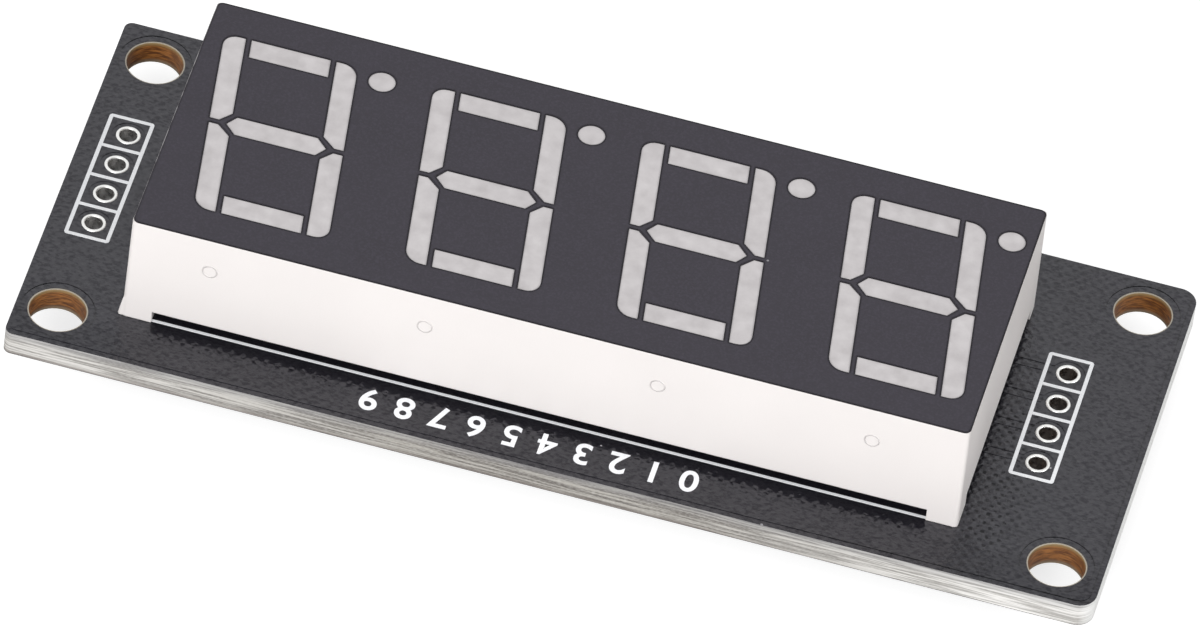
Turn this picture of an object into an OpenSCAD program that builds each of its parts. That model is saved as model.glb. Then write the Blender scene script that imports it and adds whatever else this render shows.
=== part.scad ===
// Four-digit seven segment display module: a display soldered on a driver board.
// The long side runs along X, the viewer stands at -Y, and the digits face +Z.
// The origin is under the middle of the board, at the flat back of the driver chip, on which the
// module rests.

/* [Board] */
// Length of the board along X
board_l = 65.5; // [65:0.5:72]
// Width of the board along Y
board_w = 27; // [27:0.5:32]
// Thickness of the laminate
board_t = 1.6; // [1:0.2:2]
// Radius of the board's right corners
board_corner_r = 1.1; // [0.6:0.1:1.6]
// Radius of the board's left corners, where it was snapped off its panel
board_corner_left_r = 0.5; // [0.4:0.1:1.6]

/* [Mounting holes] */
// Diameter of the mounting holes
mount_hole_d = 3.4; // [3:0.1:3.6]
// Left edge to the axis of the left holes
mount_inset_left = 2.5; // [2.4:0.1:2.8]
// Right edge to the axis of the right holes
mount_inset_right = 2.8; // [2.4:0.1:3]
// Near or far edge to the axes of the holes beside it
mount_inset_side = 2.75; // [2.5:0.05:3]

/* [Header holes] */
// Holes in each header row
header_count = 4; // [3:1:5]
// Distance between neighbouring holes
header_pitch = 2.54; // [2:0.02:2.54]
// Finished diameter of a header hole
header_hole_d = 1.05; // [0.8:0.05:1.1]
// Diameter of the tinned ring round a header hole
header_ring_d = 1.5; // [1.4:0.05:1.7]
// Left edge to the left row
header_inset_left = 2.6; // [2.5:0.1:2.9]
// Right edge to the right row
header_inset_right = 5.8; // [5.5:0.05:6.2]
// How far both rows stand off the board's middle line, towards the far edge
header_shift = 0.6; // [0:0.1:1]

/* [Display] */
// Length of the display housing along X
display_l = 50.3; // [50.3:0.1:51]
// Width of the display housing along Y
display_w = 19.1; // [18.8:0.1:19.4]
// Height of the display from its feet to its face
display_h = 7.8; // [7:0.1:9]
// Left edge of the board to the housing
display_inset_left = 6.1; // [5.5:0.1:6.5]
// Near edge of the board to the housing
display_inset_near = 3.6; // [3.4:0.05:4]
// Thickness of the housing's side walls
wall_t = 1; // [0.8:0.1:1.1]
// Height of the corner feet under the side walls
foot_h = 0.85; // [0.6:0.05:1]
// Length of each foot along the near and far walls
foot_l = 1.8; // [1.5:0.05:3]
// Length of the near feet along the end walls
foot_near_w = 2; // [1.5:0.1:3]
// Length of the far feet along the end walls
foot_far_w = 1.3; // [1.2:0.1:3]
// How far the left feet's end faces lean out at the board
foot_flare = 0.25; // [0.05:0.01:0.35]

/* [Digits] */
// Number of digits
digit_count = 4; // [2:1:4]
// Distance between neighbouring digits
digit_pitch = 12.7; // [12.3:0.1:12.7]
// Height of a digit
digit_h = 14.3; // [13:0.1:14.4]
// Width of a digit, before it leans
digit_w = 8.1; // [7.6:0.1:8.2]
// Lean of the digits: positive leans the far end to the right
digit_lean = -8; // [-10:1:10]
// Height of the level bars of a digit
bar_t = 1.45; // [1.2:0.05:1.5]
// Width of the upright segments of a digit
post_t = 1.3; // [1.1:0.05:1.4]
// Gap between neighbouring segments
segment_gap = 0.35; // [0.25:0.05:0.4]
// Gap between the tips of the middle bar and the upright segments
tip_gap = 0.45; // [0.35:0.05:0.5]
// Radius of a digit's four outer corners
digit_corner_r = 0.9; // [0.4:0.1:1.2]
// Diameter of the decimal points
point_d = 1.6; // [1.2:0.1:1.7]
// Digit's middle line to its point, before it leans
point_x = 5.6; // [5.4:0.05:5.7]
// Row of the points
point_row = 1; // [-1:near, 1:far]

/* [Driver chip] */
// Length of the chip's body along X
chip_l = 12.8; // [12:0.1:13]
// Width of the chip's body along Y
chip_w = 7.5; // [6:0.1:7.6]
// Height of the chip's body
chip_h = 2.3; // [2.1:0.1:2.6]
// Leads on each side of the chip
lead_count = 10; // [6:1:10]
// Distance between the tips of the two lead rows
lead_span = 10.3; // [9.8:0.1:10.6]

/* [Hidden] */
$fn = 48;
// Overlap that makes cutting shapes pass through a face
eps = 0.1;

// Coatings and layers
mask_t = 0.03;
copper_t = 0.035;
ink_t = 0.02;
plating_t = 0.05;
film_t = 0.05;
ring_crown = 0.08;
pour_inset = 0.35;
pour_clearance = 0.25;
mount_keepout = 0.5;
mount_rim = 0.08;
ink_line = 0.23;
outline_line = 0.2;
outline_inset = 0.17;
legend_shift = -0.1;
trace_w = 0.4;
trace_gap = 0.18;

// Levels, from the chip's flat back upwards
chip_clearance = 0.2;
z_bottom = chip_h + chip_clearance;
z_top = z_bottom + board_t;
z_ink = z_top + mask_t + copper_t;
z_seat = z_ink + ink_t;
z_ink_back = z_bottom - mask_t - copper_t;
z_pads = z_bottom - copper_t;

// Places on the board
mount_x = [-board_l/2 + mount_inset_left, board_l/2 - mount_inset_right];
mount_y = [-board_w/2 + mount_inset_side, board_w/2 - mount_inset_side];
header_x = [-board_l/2 + header_inset_left, board_l/2 - header_inset_right];
header_y = [for (i = [0:header_count - 1]) header_shift + (i - (header_count - 1)/2)*header_pitch];
header_drill_r = header_hole_d/2 + plating_t;
header_ring_r = header_ring_d/2;
frame_w = 2.73;
frame_corner_r = 0.2;
display_x = -board_l/2 + display_inset_left + display_l/2;
display_y = -board_w/2 + display_inset_near + display_w/2;

// Display pins
pin_d = 0.5;
pin_pitch = 2.54;
pin_columns = 6;
pin_row_span = 15.24;
pin_hole_r = 0.45;
pin_drill_r = pin_hole_r + plating_t;
pin_ring_r = 0.8;
pin_tail = 1.5;
pin_point = 0.12;
joint_h = 1.15;
joint_tip = 0.05;

// Housing, carrier and wells, measured from the feet up
body_corner_r = 0.25;
film_corner_r = 0.4;
film_inset = 0.01;
end_draft = 0.1;
side_draft = 0.03;
flare_h = 1.4;
flare_root = 0.3;
potting_z = 1.3;
carrier_z = 1.8;
carrier_t = 0.8;
carrier_gap = 0.15;
die_z = carrier_z + carrier_t;
epoxy_bed = 0.15;
well_z = die_z + epoxy_bed;
well_top = display_h - film_t;
well_foot = 0.5;
die_size = 0.28;
die_h = 0.2;

// Digit outline
bar_y = digit_h/2 - bar_t/2;
bar_half = digit_w/2 - post_t - segment_gap;
post_x = digit_w/2 - post_t/2;
post_y = digit_h/4 + segment_gap/4;
post_half = digit_h/2 - post_y;
post_land = 0.57;
tip_reach = 0.6;
tip_half = digit_w/2 - post_land - tip_gap;
arc_steps = 6;

// Chip leads
lead_pitch = 1.27;
lead_w = 0.4;
lead_t = 0.2;
lead_bend_r = 0.3;
lead_slope = 80;
lead_shoulder = 0.3;
chip_draft = 0.12;
dimple_r = 0.5;
dimple_depth = 0.06;
pad_w = 0.6;
pad_l = 1.7;
pad_toe = 0.35;

// Small parts on the back: [x, y] of each, all standing along Y, and [length, width, height]
filter_places = [[9.5, -3.2], [9.5, 3.2]];
filter_size = [2, 1.25, 0.9];
bulk_places = [[14, 0]];
bulk_size = [3.2, 1.6, 1.5];
resistor_places = [[-13, -3.2], [-13, 3.2]];
resistor_size = [2, 1.25, 0.5];
terminal_l = 0.4;
terminal_t = 0.03;
glaze_t = 0.04;
land_reach = 0.4;
land_side = 0.1;

// ---------- placing ----------

module at_mounts()
    for (x = mount_x, y = mount_y)
        translate([x, y]) children();

module at_headers()
    for (x = header_x, y = header_y)
        translate([x, y]) children();

module at_display_pins()
    for (i = [0:pin_columns - 1], side = [-1, 1])
        translate([display_x + (i - (pin_columns - 1)/2)*pin_pitch, display_y + side*pin_row_span/2])
            children();

module at_display()
    translate([display_x, display_y, z_seat]) children();

module at_digits()
    for (i = [0:digit_count - 1])
        translate([(i - (digit_count - 1)/2)*digit_pitch, 0]) children();

module at_leads()
    for (i = [0:lead_count - 1], side = [0, 180])
        translate([display_x, display_y]) rotate(side)
            translate([(i - (lead_count - 1)/2)*lead_pitch, 0]) children();

module at_places(places)
    for (p = places)
        translate(p) rotate(90) children();

// ---------- board ----------

module rounded_rectangle(size, r) {
    reach = [size.x/2 - r, size.y/2 - r];
    square([size.x, size.y - 2*r], center = true);
    square([size.x - 2*r, size.y], center = true);
    for (x = [-1, 1], y = [-1, 1])
        translate([x*reach.x, y*reach.y]) circle(r);
}

// The right half has one corner radius and the left half the other
module board_outline(inset = 0) {
    size = [board_l - 2*inset, board_w - 2*inset];
    half_size = [size.x/2, size.y];
    intersection() {
        rounded_rectangle(size, board_corner_r - inset);
        translate([0, -size.y/2]) square(half_size);
    }
    intersection() {
        rounded_rectangle(size, board_corner_left_r - inset);
        translate([-size.x/2, -size.y/2]) square(half_size);
    }
}

module circuit_board()
    color("#c9c6b4")
    translate([0, 0, z_bottom])
    linear_extrude(board_t)
    difference() {
        board_outline();
        at_mounts() circle(d = mount_hole_d);
        at_headers() circle(header_drill_r);
        at_display_pins() circle(pin_drill_r);
    }

// Openings that both faces of the mask share: the mask reaches the tinned rings
module mask_openings() {
    at_mounts() circle(mount_hole_d/2 + mount_rim);
    at_headers() circle(header_ring_r);
    at_display_pins() circle(pin_ring_r);
}

// The copper stops short of the edges, the mounting holes and the pads
module copper_field()
    difference() {
        board_outline(pour_inset);
        at_mounts() circle(mount_hole_d/2 + mount_keepout);
        at_headers() circle(header_ring_r + pour_clearance);
        at_display_pins() circle(pin_ring_r + pour_clearance);
    }

// Two grooves leave a track between each right header hole and the display
module track_grooves() {
    start = display_x + display_l/2 - wall_t;
    for (y = header_y, side = [-1, 1])
        translate([start, y + side*(trace_w + trace_gap)/2 - trace_gap/2])
            square([header_x[1] - header_ring_r - start, trace_gap]);
}

module solder_mask_top()
    color("#2b2b2e")
    translate([0, 0, z_top]) {
        linear_extrude(mask_t)
            difference() {
                board_outline();
                mask_openings();
            }
        linear_extrude(mask_t + copper_t)
            difference() {
                copper_field();
                track_grooves();
            }
    }

module solder_mask_bottom()
    color("#2b2b2e")
    translate([0, 0, z_bottom])
    mirror([0, 0, 1]) {
        linear_extrude(mask_t)
            difference() {
                board_outline();
                mask_openings();
                surface_lands();
            }
        linear_extrude(mask_t + copper_t)
            difference() {
                copper_field();
                surface_lands(pour_clearance);
            }
    }

// ---------- legend ----------

// A printed line has soft outer corners
module line_frame(size, line)
    difference() {
        rounded_rectangle([size.x + line, size.y + line], frame_corner_r);
        square([size.x - line, size.y - line], center = true);
    }

module header_frames() {
    frame_l = header_count*header_pitch;
    for (x = header_x)
        translate([x + legend_shift, header_shift]) {
            line_frame([frame_w - ink_line, frame_l], ink_line);
            for (i = [1:header_count - 1])
                translate([0, i*header_pitch - frame_l/2])
                    square([frame_w - ink_line, ink_line], center = true);
        }
}

module legend_ink_top()
    color("#eef0f2")
    translate([0, 0, z_ink])
    linear_extrude(ink_t) {
        header_frames();
        translate([display_x, display_y])
            line_frame([display_l - 2*outline_inset, display_w - 2*outline_inset], outline_line);
    }

// The back has the header frames again, a line at each end of the chip, a dot at its first lead,
// and brackets beside the small parts
module legend_ink_bottom()
    color("#eef0f2")
    translate([0, 0, z_ink_back - ink_t])
    linear_extrude(ink_t) {
        header_frames();
        translate([display_x, display_y]) {
            for (side = [-1, 1])
                translate([side*(chip_l/2 + 0.4), 0])
                    square([ink_line, chip_w], center = true);
            translate([chip_l/2 + 0.4, chip_w/2 + 0.8]) circle(0.35);
        }
        part_brackets(filter_places, filter_size);
        part_brackets(bulk_places, bulk_size);
        part_brackets(resistor_places, resistor_size);
    }

module part_brackets(places, size)
    at_places(places)
        for (side = [-1, 1])
            translate([0, side*(size.y/2 + 0.45)])
                square([size.x + 1, ink_line], center = true);

// ---------- plated holes ----------

// Half of an ellipse across a ring, from its inner to its outer edge
function crown(r_in, r_out, height) =
    [for (k = [0:arc_steps*2])
        let (u = k/(arc_steps*2))
        [r_in + (r_out - r_in)*u, height*sqrt(max(0, 1 - pow(2*u - 1, 2)))]];

function flat_ring(r_in, r_out, height) =
    [[r_in, 0], [r_in, height], [r_out, height], [r_out, 0]];

// A plated hole: a barrel through the laminate with a ring on each face
module plated_hole(hole_r, face) {
    above = [for (p = face) [p.x, z_top + p.y]];
    below = [for (i = [len(face) - 1:-1:0]) [face[i].x, z_bottom - face[i].y]];
    barrel_r = hole_r + plating_t;
    rotate_extrude()
        polygon(concat(above, [[barrel_r, z_top], [barrel_r, z_bottom]], below));
}

module header_hole_plating()
    color("#d9dadb")
    at_headers()
        plated_hole(header_hole_d/2, crown(header_hole_d/2, header_ring_r, ring_crown));

module display_hole_plating()
    color("#d9dadb")
    at_display_pins()
        plated_hole(pin_hole_r, flat_ring(pin_hole_r, pin_ring_r, copper_t));

// ---------- digits ----------

// A leaning digit is an upright one whose points slide along X with their height
function lean(p) = [p.x + p.y*tan(digit_lean), p.y];
function lean_all(points) = [for (p = points) lean(p)];

// Each segment is [centre, outline round its centre], both upright
function level_bar(side) = [
    [0, side*bar_y],
    [[-bar_half, -bar_t/2], [bar_half, -bar_t/2], [bar_half, bar_t/2], [-bar_half, bar_t/2]]
];

function middle_bar() = [
    [0, 0],
    [
        [-tip_half, 0], [tip_reach - tip_half, -bar_t/2], [tip_half - tip_reach, -bar_t/2],
        [tip_half, 0], [tip_half - tip_reach, bar_t/2], [tip_reach - tip_half, bar_t/2]
    ]
];

// The right far post has its round corner outside at the top and a slope inside at the bottom,
// and the other three are its reflections
function post_outline() = concat(
    [[post_t/2, -post_half]],
    [for (k = [0:arc_steps])
        let (a = 90*k/arc_steps)
        [
            post_t/2 - digit_corner_r*(1 - cos(a)),
            post_half - digit_corner_r*(1 - sin(a))
        ]],
    [
        [-post_t/2, post_half],
        [-post_t/2, post_t - post_land - post_half],
        [post_t/2 - post_land, -post_half]
    ]
);

function post(side, row) = [
    [side*post_x, row*post_y],
    [for (p = post_outline()) [side*p.x, row*p.y]]
];

SEGMENTS = concat(
    [level_bar(-1), middle_bar(), level_bar(1)],
    [for (side = [-1, 1], row = [-1, 1]) post(side, row)]
);
point_centre = lean([point_x, point_row*bar_y]);

module face_windows()
    at_digits() {
        for (s = SEGMENTS)
            translate(lean(s[0])) polygon(lean_all(s[1]));
        translate(point_centre) circle(d = point_d);
    }

// A light well is as wide as its window at the face and half as wide at the die.
// reach lengthens it past both ends along the same slope.
module light_wells(reach = 0) {
    slope = (1 - well_foot)/(well_top - well_z);
    low = well_foot - slope*reach;
    high = 1 + slope*reach;
    depth = well_top - well_z + 2*reach;
    translate([0, 0, well_z - reach])
        at_digits() {
            for (s = SEGMENTS)
                translate(lean(s[0]))
                    linear_extrude(depth, scale = high/low)
                        polygon(low*lean_all(s[1]));
            translate(point_centre)
                cylinder(depth, d1 = low*point_d, d2 = high*point_d);
        }
}

// ---------- display ----------

// The left wall is plumb and the others lean out a little towards the feet.
// stretch makes the block longer at both ends.
module housing_block(stretch = 0)
    hull() {
        translate([0, 0, well_top - eps])
            linear_extrude(eps)
                rounded_rectangle([display_l + 2*stretch, display_w], body_corner_r);
        translate([end_draft/2, 0])
            linear_extrude(eps)
                rounded_rectangle([
                    display_l + 2*stretch + end_draft,
                    display_w + 2*side_draft
                ], body_corner_r);
    }

// Room for the carrier board, open towards the circuit board
module housing_cavity(height, floor_z)
    translate([0, 0, floor_z])
        linear_extrude(height)
            square([display_l - 2*wall_t, display_w - 2*wall_t], center = true);

// Cut under the walls from foot to foot, first along X and then along Y
module foot_gaps() {
    through = display_l + display_w;
    translate([-display_l/2 + foot_l, -through/2, -eps])
        cube([display_l - 2*foot_l, through, foot_h + eps]);
    translate([-through/2, -display_w/2 + foot_near_w, -eps])
        cube([through, display_w - foot_near_w - foot_far_w, foot_h + eps]);
}

// Wedges on the left feet's end faces, widest at the board and flush with the near and far walls
module foot_flares()
    intersection() {
        housing_block(foot_flare);
        union() {
            flare(-display_w/2, foot_near_w);
            flare(display_w/2 - foot_far_w, foot_far_w);
        }
    }

module flare(near_y, length)
    translate([-display_l/2, near_y + length, 0])
        rotate([90, 0, 0])
            linear_extrude(length)
                polygon([[flare_root, 0], [-foot_flare, 0], [0, flare_h], [flare_root, flare_h]]);

module display_housing()
    color("#f1efec")
    at_display() {
        difference() {
            housing_block();
            housing_cavity(well_z + eps, -eps);
            foot_gaps();
            light_wells(eps/2);
        }
        foot_flares();
    }

module face_film()
    color("#4b494e")
    at_display()
    translate([0, 0, well_top])
    linear_extrude(film_t)
    difference() {
        rounded_rectangle([display_l - 2*film_inset, display_w - 2*film_inset], film_corner_r);
        face_windows();
    }

module carrier_block()
    translate([0, 0, carrier_z])
        linear_extrude(carrier_t)
            square([
                display_l - 2*wall_t - 2*carrier_gap,
                display_w - 2*wall_t - 2*carrier_gap
            ], center = true);

module dies()
    translate([0, 0, die_z])
        at_digits() {
            for (s = SEGMENTS)
                translate(lean(s[0])) linear_extrude(die_h) square(die_size, center = true);
            translate(point_centre) linear_extrude(die_h) square(die_size, center = true);
        }

// The pin's length of shaft, without its pointed end, in the display's own place
module pin_shafts()
    translate([-display_x, -display_y])
        at_display_pins() cylinder(die_z, d = pin_d);

// One casting fills the wells, beds the carrier board and closes the back round it
module segment_epoxy()
    color("#cdc9c8")
    at_display()
    difference() {
        union() {
            light_wells();
            housing_cavity(well_z - potting_z, potting_z);
        }
        carrier_block();
        dies();
        pin_shafts();
    }

module led_carrier_board()
    color("#6d8f5a")
    at_display()
    difference() {
        carrier_block();
        pin_shafts();
    }

module led_dies()
    color("#c9b06a")
    at_display() dies();

// ---------- display pins ----------

module display_pins() {
    tip = z_bottom - pin_tail;
    top = z_seat + die_z;
    r = pin_d/2;
    color("#c9c9c6")
    at_display_pins()
        rotate_extrude()
            polygon([[0, tip], [r - pin_point, tip], [r, tip + pin_point], [r, top], [0, top]]);
}

// Solder fills the plated hole and climbs the pin in a hollow cone
module pin_solder_joints() {
    base = z_pads;
    foot = [for (k = [0:arc_steps])
        let (a = 90*k/arc_steps, tip_r = pin_d/2 + joint_tip)
        [tip_r + (pin_ring_r - tip_r)*(1 - sin(a)), base - joint_h*(1 - cos(a))]];
    color("#d5d6d8")
    at_display_pins()
        rotate_extrude()
            polygon(concat(
                [[pin_d/2, z_top + copper_t], [pin_hole_r, z_top + copper_t], [pin_hole_r, base]],
                foot,
                [[pin_d/2, base - joint_h]]
            ));
}

// ---------- driver chip ----------

module chip_slab(z, inset)
    translate([0, 0, z])
        linear_extrude(lead_t)
            square([chip_l - 2*inset, chip_w - 2*inset], center = true);

// The body is widest where the leads come out, and a dimple marks its first lead
module driver_chip()
    color("#2a2a2c")
    translate([display_x, display_y])
    difference() {
        hull() {
            chip_slab(0, chip_draft);
            chip_slab((chip_h - lead_t)/2, 0);
            chip_slab(chip_h - lead_t, chip_draft);
        }
        translate([chip_l/2 - 1.4, chip_w/2 - 1.4, -eps])
            cylinder(dimple_depth + eps, r = dimple_r);
    }

// Middle line of a lead, as [outward, up, heading], and its two faces half a thickness off it
function lead_path() =
    let (
        rise_0 = chip_h/2,
        rise_1 = z_pads - lead_t/2,
        straight = (rise_1 - rise_0 - 2*lead_bend_r*(1 - cos(lead_slope)))/sin(lead_slope),
        out_1 = chip_w/2 + lead_shoulder,
        out_2 = out_1 + 2*lead_bend_r*sin(lead_slope) + straight*cos(lead_slope),
        turn = [for (k = [0:arc_steps]) lead_slope*k/arc_steps]
    )
    concat(
        [[chip_w/2, rise_0, 0]],
        [for (a = turn)
            [out_1 + lead_bend_r*sin(a), rise_0 + lead_bend_r*(1 - cos(a)), a]],
        [for (k = [arc_steps:-1:0])
            [out_2 - lead_bend_r*sin(turn[k]), rise_1 - lead_bend_r*(1 - cos(turn[k])), turn[k]]],
        [[lead_span/2, rise_1, 0]]
    );

function offset_path(path, d) =
    [for (p = path) [p.x - d*sin(p[2]), p.y + d*cos(p[2])]];

module lead_shape()
    rotate([90, 0, 90])
        translate([0, 0, -lead_w/2])
            linear_extrude(lead_w) {
                path = lead_path();
                outer = offset_path(path, -lead_t/2);
                inner = offset_path(path, lead_t/2);
                polygon(concat(outer, [for (i = [len(inner) - 1:-1:0]) inner[i]]));
            }

module driver_chip_leads()
    color("#c4c5c7")
    at_leads() lead_shape();

// Solder at the toe of each lead and at the ends of the small parts
module solder_wedge(width, height, reach)
    rotate([90, 0, 90])
        translate([0, 0, -width/2])
            linear_extrude(width)
                polygon([[0, 0], [reach, 0], [reach/3, -height/3], [0, -height]]);

module lead_solder()
    color("#d5d6d8") {
        at_leads()
            translate([0, lead_span/2, z_pads]) solder_wedge(lead_w, lead_t, pad_toe*0.8);
        terminal_solder(filter_places, filter_size);
        terminal_solder(bulk_places, bulk_size);
        terminal_solder(resistor_places, resistor_size);
    }

module terminal_solder(places, size)
    at_places(places)
        for (side = [-90, 90])
            rotate(side) translate([0, size.x/2, z_pads])
                solder_wedge(size.y*0.9, size.z*0.7, land_reach*0.9);

// ---------- pads under the chip and the small parts ----------

module surface_lands(grow = 0) {
    at_leads()
        translate([0, lead_span/2 + pad_toe - pad_l/2])
            square([pad_w + 2*grow, pad_l + 2*grow], center = true);
    part_lands(filter_places, filter_size, grow);
    part_lands(bulk_places, bulk_size, grow);
    part_lands(resistor_places, resistor_size, grow);
}

module part_lands(places, size, grow) {
    land_l = terminal_l + land_reach;
    at_places(places)
        for (side = [-1, 1])
            translate([side*(size.x/2 + land_reach - land_l/2), 0])
                square([land_l + 2*grow, size.y + 2*land_side + 2*grow], center = true);
}

module surface_pads()
    color("#d9dadb")
    translate([0, 0, z_pads])
    linear_extrude(copper_t) surface_lands();

// ---------- small parts ----------

// A block hanging under its pads, thinner than its terminals by their thickness
module part_block(size, skin)
    translate([0, 0, z_pads - size.z/2])
        cube([size.x - 2*skin, size.y - 2*skin, size.z - 2*skin], center = true);

module part_bodies(places, size)
    at_places(places) part_block(size, terminal_t);

module part_terminals(places, size)
    at_places(places)
        difference() {
            part_block(size, 0);
            part_block(size, terminal_t);
            translate([0, 0, z_pads - size.z/2])
                cube([size.x - 2*terminal_l, size.y + eps, size.z + eps], center = true);
        }

module filter_capacitors()
    color("#b79a72") part_bodies(filter_places, filter_size);

module filter_capacitor_terminals()
    color("#cfd0d2") part_terminals(filter_places, filter_size);

module bulk_capacitor()
    color("#a98a63") part_bodies(bulk_places, bulk_size);

module bulk_capacitor_terminals()
    color("#cfd0d2") part_terminals(bulk_places, bulk_size);

module pullup_resistors()
    color("#e9e8e2") part_bodies(resistor_places, resistor_size);

module resistor_terminals()
    color("#cfd0d2") part_terminals(resistor_places, resistor_size);

// Dark glaze on the outer face, between the terminals
module resistor_glaze()
    color("#26262a")
    at_places(resistor_places)
        translate([0, 0, z_pads - resistor_size.z + terminal_t - glaze_t/2])
            cube([
                resistor_size.x - 2*terminal_l, resistor_size.y - 2*terminal_t, glaze_t
            ], center = true);

circuit_board();
solder_mask_top();
solder_mask_bottom();
legend_ink_top();
legend_ink_bottom();
header_hole_plating();
display_hole_plating();
display_housing();
face_film();
segment_epoxy();
led_carrier_board();
led_dies();
display_pins();
pin_solder_joints();
driver_chip();
driver_chip_leads();
surface_pads();
lead_solder();
filter_capacitors();
filter_capacitor_terminals();
bulk_capacitor();
bulk_capacitor_terminals();
pullup_resistors();
resistor_glaze();
resistor_terminals();
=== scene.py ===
# %% [markdown]
# # Dressing a four-digit seven segment display module
# The real object is a small circuit board with a white plastic display block soldered on it. Its solids
# come ready made from the CAD model, so this lesson gives them their finishes, adds the thin printed and
# moulded details, and sets up light, floor and camera. Every length is in metres, as Blender wants it.
#
# The solids could be modelled again in Blender, but a second model would drift from the first.

# %% Load the solids
import math

import bmesh
import bpy
from mathutils import Matrix, Quaternion, Vector


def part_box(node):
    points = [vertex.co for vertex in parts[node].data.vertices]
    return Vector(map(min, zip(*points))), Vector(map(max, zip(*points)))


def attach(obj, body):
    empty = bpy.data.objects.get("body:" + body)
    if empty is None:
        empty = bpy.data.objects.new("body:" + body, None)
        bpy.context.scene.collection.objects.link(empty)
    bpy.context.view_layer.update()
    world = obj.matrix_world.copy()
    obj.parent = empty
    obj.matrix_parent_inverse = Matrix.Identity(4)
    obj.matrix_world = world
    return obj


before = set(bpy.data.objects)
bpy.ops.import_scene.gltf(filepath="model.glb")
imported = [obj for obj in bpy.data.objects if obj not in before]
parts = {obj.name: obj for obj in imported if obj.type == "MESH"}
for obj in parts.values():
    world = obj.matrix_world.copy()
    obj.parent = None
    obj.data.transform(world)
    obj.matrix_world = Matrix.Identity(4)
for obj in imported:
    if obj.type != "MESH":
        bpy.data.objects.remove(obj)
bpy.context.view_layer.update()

# %% [markdown]
# ## Measures and helpers
# Makers think in millimetres, and screens give colours as hex codes. Short functions turn these into what
# Blender needs: metres, and linear light. Another adds one shader node, sets it and links it. It takes hex
# codes as colours, and a whole node where its output is meant, so each material reads like a recipe.
#
# Two nodes do most of the work. Map Range answers "how far is this value from here to there" with a number
# from 0 to 1, unless it is told otherwise, and Mix blends two colours by such a number. A noise texture
# wavers round 0.5, so the two values that Map Range takes from it decide how much of it counts. Inputs go
# by name, or by place where names repeat: Mix takes its share at 0 and its two colours at 6 and 7.

# %% Units, colours and nodes
MM = 0.001


def linear(code):
    """Turn an sRGB hex code such as #F1EFEC into linear red, green, blue and alpha."""
    levels = [int(code[i:i + 2], 16) / 255 for i in (1, 3, 5)]
    return (*[c / 12.92 if c <= 0.04045 else ((c + 0.055) / 1.055) ** 2.4 for c in levels], 1.0)


def output_of(node):
    """The output of a node that is in use. A Mix node, for one, has an output for each kind of data."""
    return next(socket for socket in node.outputs if socket.enabled)


def add(tree, kind, inputs=None, **settings):
    """Add a shader node. Settings are its properties, inputs are values, hex codes, nodes or sockets."""
    made = tree.nodes.new("ShaderNode" + kind)
    for name, value in settings.items():
        setattr(made, name, value)
    for key, value in (inputs or {}).items():
        if isinstance(value, bpy.types.Node):
            value = output_of(value)
        if isinstance(value, bpy.types.NodeSocket):
            tree.links.new(value, made.inputs[key])
        else:
            made.inputs[key].default_value = linear(value) if isinstance(value, str) else value
    return made


def per(size):
    """Scale of a texture whose features are size millimetres across."""
    return 1 / (size * MM)


print("1 mm is", MM, "m, and the grey #808080 is", round(linear("#808080")[0], 3), "in linear light")

# %% [markdown]
# ## Camera
# A long lens far away, as for a catalogue, keeps parallel edges nearly parallel. The camera stands to the
# right of the near long side, looks down at a good slope, and is rolled a little so that the module lies
# across the view. Angles round the object are easier to judge than coordinates, so a small function turns
# them into a direction.

# %% Place the camera
CAMERA_AZIMUTH = 8.81
CAMERA_ELEVATION = 45.51
CAMERA_ROLL = 7.96
CAMERA_DISTANCE = 1.2678
CAMERA_LENS = 651.5  # mm, before a sensor of 36 mm
SENSOR_WIDTH = 36
NEAREST_SEEN = 0.05
FARTHEST_SEEN = 20
AIM = Vector((-0.24, -0.165, 4.1)) * MM


def direction(azimuth, elevation):
    """Unit vector from the object towards a place round it, in degrees. Azimuth 0 is the near side."""
    a, e = math.radians(azimuth), math.radians(elevation)
    return Vector((math.sin(a) * math.cos(e), -math.cos(a) * math.cos(e), math.sin(e)))


towards_camera = direction(CAMERA_AZIMUTH, CAMERA_ELEVATION)
camera = bpy.data.objects.new("camera", bpy.data.cameras.new("long_lens"))
bpy.context.scene.collection.objects.link(camera)
camera.location = AIM + towards_camera * CAMERA_DISTANCE
camera.rotation_mode = "QUATERNION"
level_view = (-towards_camera).to_track_quat("-Z", "Y")
camera.rotation_quaternion = level_view @ Quaternion((0, 0, 1), math.radians(CAMERA_ROLL))
camera.data.lens = CAMERA_LENS
camera.data.sensor_width = SENSOR_WIDTH
camera.data.clip_start = NEAREST_SEEN
camera.data.clip_end = FARTHEST_SEEN
bpy.context.scene.camera = camera
bpy.context.scene.view_settings.view_transform = "Standard"
print("camera at", tuple(camera.location))

# %% [markdown]
# ## White sky
# A pale object shows best in a white room, and the sky stands for its walls and ceiling. A world with one
# strength would light the object too much or look grey. So this one has two: full white for the eye, for
# gloss and for glass, and a weaker level as a light, so that the lamps still shape the object.

# %% Make the sky
SKY_LIGHT = 0.4

world = bpy.data.worlds.new("white_studio")
bpy.context.scene.world = world
world.use_nodes = True
sky = world.node_tree
sky.nodes.clear()
ray = add(sky, "LightPath")
seen = add(sky, "Math", {0: ray.outputs["Is Camera Ray"], 1: ray.outputs["Is Glossy Ray"]},
           operation="MAXIMUM")
seen = add(sky, "Math", {0: seen, 1: ray.outputs["Is Transmission Ray"]}, operation="MAXIMUM")
level = add(sky, "MapRange", {"Value": seen, "To Min": SKY_LIGHT, "To Max": 1.0})
glow = add(sky, "Background", {"Color": "#FFFFFF", "Strength": level})
add(sky, "OutputWorld", {"Surface": glow})
print("sky light", SKY_LIGHT)

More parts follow.
